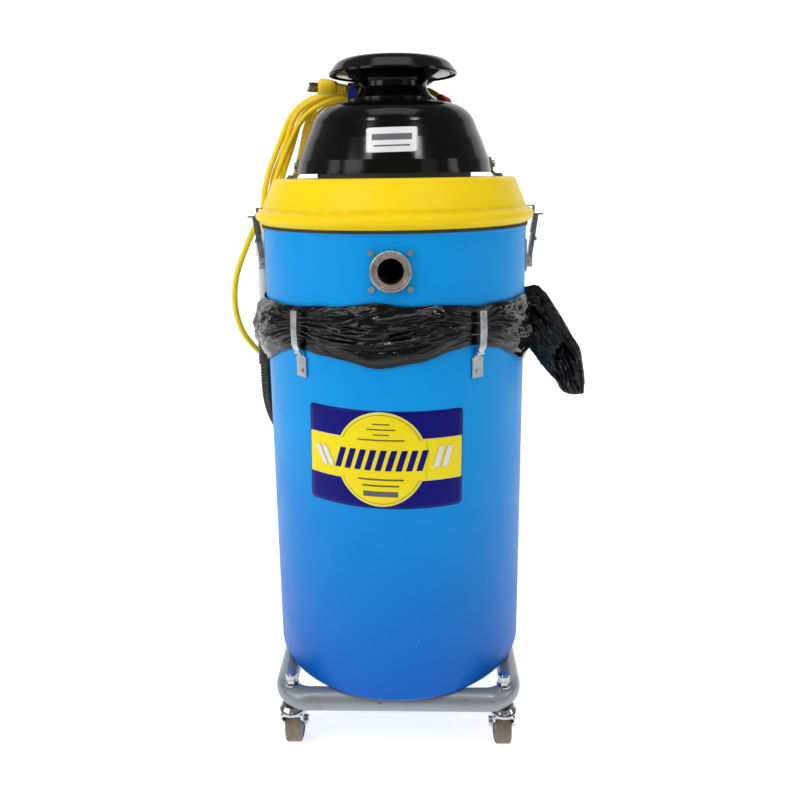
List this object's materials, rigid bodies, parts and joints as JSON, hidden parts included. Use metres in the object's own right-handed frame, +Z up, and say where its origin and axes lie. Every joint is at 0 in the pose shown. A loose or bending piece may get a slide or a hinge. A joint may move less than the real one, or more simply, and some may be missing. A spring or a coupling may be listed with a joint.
{
  "type": "dust collector",
  "caption": "Mobile drum dust collector: blue barrel with bag on a caster dolly, clamped yellow lid, black domed motor head, front inlet port, yellow power cord.",
  "frame": {"origin": "on the floor under the barrel's axis", "axes": "+Z up, -Y to the front, where the inlet port opens, +X to the right seen from the front"},
  "size_m": [0.5853, 0.4328, 1.043],
  "materials": {
    "frame_steel": "grey enamel, satin",
    "zinc": "zinc plated, satin",
    "chrome_race": "bright plated",
    "caster_tyre": "olive-grey, matte",
    "caster_core": "black, satin",
    "barrel_blue": "blue, gloss",
    "lid_yellow": "yellow, gloss",
    "dome_black": "black, gloss",
    "port_black": "black, satin",
    "bag_film": "black film, glossy, creased",
    "gasket_rubber": "black, matte",
    "foam": "mauve-grey foam, matte",
    "filter_cloth": "off-white felt",
    "pipe_white": "white, gloss",
    "hose_black": "black, corrugated",
    "latch_dark": "black, satin",
    "motor_metal": "cast, satin",
    "cord_jacket": "yellow, satin",
    "plug_body": "yellow moulded, satin",
    "gland_red": "red-orange, satin",
    "strap_blue": "blue hook-and-loop, matte",
    "label_white": "white, satin",
    "decal_navy": "navy print, gloss",
    "decal_yellow": "yellow print, gloss"
  },
  "bodies": {
    "base": {"dolly_frame": "frame_steel", "dolly_cross_bars": "frame_steel", "caster_stems": "chrome_race", "stem_nuts": "zinc", "barrel": "barrel_blue", "bag_liner": "bag_film", "bag_cuff": "bag_film", "bag_clip_brackets": "zinc", "balance_hose": "hose_black", "hose_sleeve": "port_black", "hose_elbow": "port_black"},
    "head": {"upper_section": "barrel_blue", "lid_gasket": "gasket_rubber", "inlet_collar": "port_black", "inlet_screws": "zinc", "inlet_elbow": "port_black", "lid": "lid_yellow", "latch_base_left": "zinc", "latch_base_right": "zinc", "motor_dome": "dome_black", "dome_brackets": "zinc", "neck_collar": "port_black", "motor_cap": "dome_black", "exhaust_ring": "foam", "motor_flange": "zinc", "motor_can": "motor_metal", "motor_stator": "motor_metal", "switch_plate": "port_black", "filter_cage": "zinc", "filter_bag": "filter_cloth", "filter_clamp": "zinc", "balance_pipe": "pipe_white", "balance_elbow": "pipe_white", "power_cord": "cord_jacket", "cord_hank": "cord_jacket", "cord_strap": "strap_blue", "cord_gland": "gland_red", "plug": "plug_body"},
    "caster_front_left": {"caster_fork_front_left": "zinc"},
    "wheel_front_left": {"wheel_core_front_left": "caster_core", "wheel_tyre_front_left": "caster_tyre"},
    "caster_front_right": {"caster_fork_front_right": "zinc"},
    "wheel_front_right": {"wheel_core_front_right": "caster_core", "wheel_tyre_front_right": "caster_tyre"},
    "caster_rear_left": {"caster_fork_rear_left": "zinc"},
    "wheel_rear_left": {"wheel_core_rear_left": "caster_core", "wheel_tyre_rear_left": "caster_tyre"},
    "caster_rear_right": {"caster_fork_rear_right": "zinc"},
    "wheel_rear_right": {"wheel_core_rear_right": "caster_core", "wheel_tyre_rear_right": "caster_tyre"},
    "bag_clip_front_left": {"bag_clip_front_left": "zinc"},
    "bag_clip_front_right": {"bag_clip_front_right": "zinc"},
    "bag_clip_rear_left": {"bag_clip_rear_left": "zinc"},
    "bag_clip_rear_right": {"bag_clip_rear_right": "zinc"},
    "latch_left": {"latch_lever_left": "latch_dark", "latch_claw_left": "zinc"},
    "latch_right": {"latch_lever_right": "latch_dark", "latch_claw_right": "zinc"},
    "rotor": {"motor_rotor": "motor_metal"},
    "rocker": {"switch_rocker": "gland_red"}
  },
  "joints": [
    {"name": "caster_front_left_swivel", "type": "hinge", "parent": "base", "child": "caster_front_left", "pos_m": [-0.15928, -0.15928, 0.068], "axis": [0, 0, 1], "continuous": true},
    {"name": "wheel_front_left_spin", "type": "hinge", "parent": "caster_front_left", "child": "wheel_front_left", "pos_m": [-0.15928, -0.13728, 0.03], "axis": [1, 0, 0], "continuous": true},
    {"name": "caster_front_right_swivel", "type": "hinge", "parent": "base", "child": "caster_front_right", "pos_m": [0.15928, -0.15928, 0.068], "axis": [0, 0, 1], "continuous": true},
    {"name": "wheel_front_right_spin", "type": "hinge", "parent": "caster_front_right", "child": "wheel_front_right", "pos_m": [0.15928, -0.13728, 0.03], "axis": [1, 0, 0], "continuous": true},
    {"name": "caster_rear_left_swivel", "type": "hinge", "parent": "base", "child": "caster_rear_left", "pos_m": [-0.15928, 0.15928, 0.068], "axis": [0, 0, 1], "continuous": true},
    {"name": "wheel_rear_left_spin", "type": "hinge", "parent": "caster_rear_left", "child": "wheel_rear_left", "pos_m": [-0.15928, 0.18128, 0.03], "axis": [1, 0, 0], "continuous": true},
    {"name": "caster_rear_right_swivel", "type": "hinge", "parent": "base", "child": "caster_rear_right", "pos_m": [0.15928, 0.15928, 0.068], "axis": [0, 0, 1], "continuous": true},
    {"name": "wheel_rear_right_spin", "type": "hinge", "parent": "caster_rear_right", "child": "wheel_rear_right", "pos_m": [0.15928, 0.18128, 0.03], "axis": [1, 0, 0], "continuous": true},
    {"name": "bag_clip_front_left_hinge", "type": "hinge", "parent": "base", "child": "bag_clip_front_left", "pos_m": [-0.13184, -0.16281, 0.621], "axis": [0.7771, -0.6293, 0], "range_deg": [0, 95]},
    {"name": "bag_clip_front_right_hinge", "type": "hinge", "parent": "base", "child": "bag_clip_front_right", "pos_m": [0.12016, -0.17161, 0.621], "axis": [0.8192, 0.5736, 0], "range_deg": [0, 95]},
    {"name": "bag_clip_rear_left_hinge", "type": "hinge", "parent": "base", "child": "bag_clip_rear_left", "pos_m": [-0.12016, 0.17161, 0.621], "axis": [-0.8192, -0.5736, 0], "range_deg": [0, 95]},
    {"name": "bag_clip_rear_right_hinge", "type": "hinge", "parent": "base", "child": "bag_clip_rear_right", "pos_m": [0.12016, 0.17161, 0.621], "axis": [-0.8192, 0.5736, 0], "range_deg": [0, 95]},
    {"name": "head_lift", "type": "slide", "parent": "base", "child": "head", "axis": [0, 0, 1], "range_m": [0, 0.35]},
    {"name": "latch_left_hinge", "type": "hinge", "parent": "head", "child": "latch_left", "pos_m": [-0.212, 0, 0.727], "axis": [0, -1, 0], "range_deg": [0, 70], "stiffness_Nm_per_rad": 0.6, "springref_deg": -20.05},
    {"name": "latch_right_hinge", "type": "hinge", "parent": "head", "child": "latch_right", "pos_m": [0.212, 0, 0.727], "axis": [0, 1, 0], "range_deg": [0, 70], "stiffness_Nm_per_rad": 0.6, "springref_deg": -20.05},
    {"name": "motor_spin", "type": "hinge", "parent": "head", "child": "rotor", "pos_m": [0, 0, 0.93], "axis": [0, 0, 1], "continuous": true},
    {"name": "switch_rock", "type": "hinge", "parent": "head", "child": "rocker", "pos_m": [0, 0.1515, 0.908], "axis": [1, 0, 0], "range_deg": [0, 12]}
  ]
}
